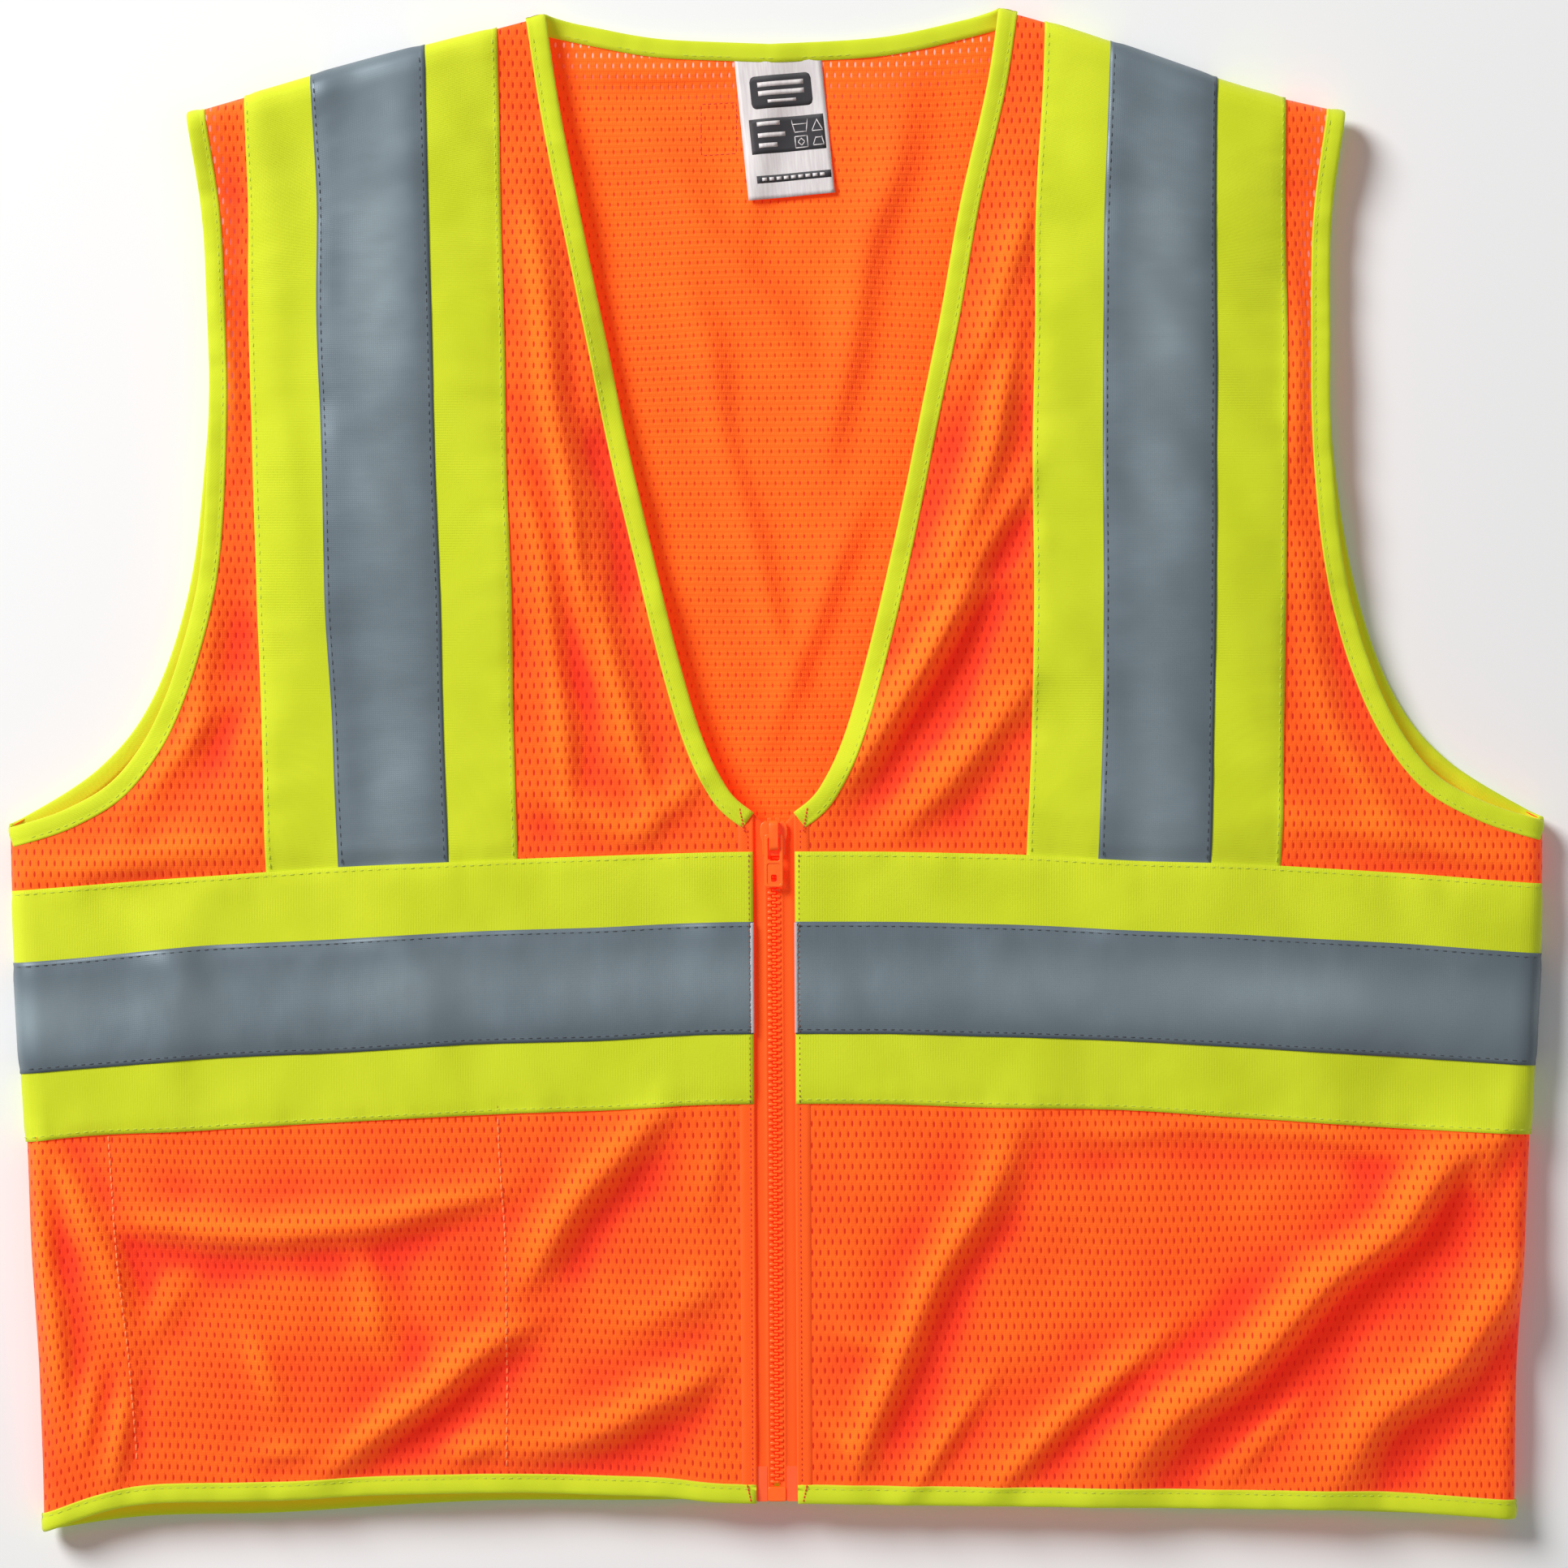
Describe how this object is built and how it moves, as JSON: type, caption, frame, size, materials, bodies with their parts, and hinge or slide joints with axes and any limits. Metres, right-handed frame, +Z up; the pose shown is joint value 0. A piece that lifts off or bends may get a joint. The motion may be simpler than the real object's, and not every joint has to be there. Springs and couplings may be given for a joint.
{
  "type": "high visibility vest",
  "caption": "Sleeveless mesh safety vest with a V-neck, reflective waist and shoulder tapes, bound edges, a separating front zip and an inner pocket, zipped up and lying flat on its back.",
  "frame": {"origin": "centre of the footprint, on the surface that the vest lies on", "axes": "+Z up, away from the back of the vest; +Y to the collar; +X to the wearer's left"},
  "size_m": [0.6946, 0.6936, 0.0233],
  "materials": {
    "orange_mesh": "knitted polyester mesh, fluorescent orange-red",
    "lime_tape": "warp-knit polyester tape, fluorescent yellow-green",
    "silver_tape": "silver retroreflective glass-bead tape",
    "lime_binding": "woven polyester edge binding, fluorescent yellow-green",
    "zip_cloth": "woven polyester zip tape",
    "zip_plastic": "moulded acetal, satin",
    "zip_film": "thin clear film over the zip tape",
    "label_satin": "white satin ribbon"
  },
  "bodies": {
    "vest_body": {"back_panel": "orange_mesh", "back_waist_silver": "silver_tape", "back_waist_tape": "lime_tape", "hem_binding": "lime_binding", "left_armhole_binding": "lime_binding", "left_back_brace_silver": "silver_tape", "left_back_brace_tape": "lime_tape", "left_front_brace_silver": "silver_tape", "left_front_brace_tape": "lime_tape", "left_side_panel": "orange_mesh", "left_side_waist_silver": "silver_tape", "left_side_waist_tape": "lime_tape", "neck_binding": "lime_binding", "neck_label": "label_satin", "pocket": "orange_mesh", "right_armhole_binding": "lime_binding", "right_back_brace_silver": "silver_tape", "right_back_brace_tape": "lime_tape", "right_front_brace_silver": "silver_tape", "right_front_brace_tape": "lime_tape", "right_side_panel": "orange_mesh", "right_side_waist_silver": "silver_tape", "right_side_waist_tape": "lime_tape"},
    "right_front": {"right_front_hem_binding": "lime_binding", "right_front_panel": "orange_mesh", "right_front_waist_silver": "silver_tape", "right_front_waist_tape": "lime_tape", "right_v_binding": "lime_binding", "right_zip_film": "zip_film", "right_zip_stop": "zip_plastic", "right_zip_tape": "zip_cloth", "right_zip_teeth": "zip_plastic", "zip_box": "zip_plastic"},
    "left_front": {"left_front_hem_binding": "lime_binding", "left_front_panel": "orange_mesh", "left_front_waist_silver": "silver_tape", "left_front_waist_tape": "lime_tape", "left_v_binding": "lime_binding", "left_zip_film": "zip_film", "left_zip_stop": "zip_plastic", "left_zip_tape": "zip_cloth", "left_zip_teeth": "zip_plastic", "zip_pin": "zip_plastic"},
    "zip_slider": {"zip_slider": "zip_plastic"},
    "zip_pull": {"zip_pull": "zip_plastic"}
  },
  "joints": [
    {"name": "right_front_open", "type": "hinge", "parent": "vest_body", "child": "right_front", "pos_m": [-0.1, 0, 0.0199], "axis": [0, -1, 0], "range_deg": [0, 165]},
    {"name": "left_front_open", "type": "hinge", "parent": "vest_body", "child": "left_front", "pos_m": [0.1, 0, 0.0199], "axis": [0, 1, 0], "range_deg": [0, 165]},
    {"name": "zip_slide", "type": "slide", "parent": "right_front", "child": "zip_slider", "axis": [0, -1, 0], "range_m": [0, 0.285]},
    {"name": "pull_tab", "type": "hinge", "parent": "zip_slider", "child": "zip_pull", "pos_m": [0, -0.0304, 0.02076], "axis": [-1, 0, 0], "range_deg": [0, 165]}
  ]
}
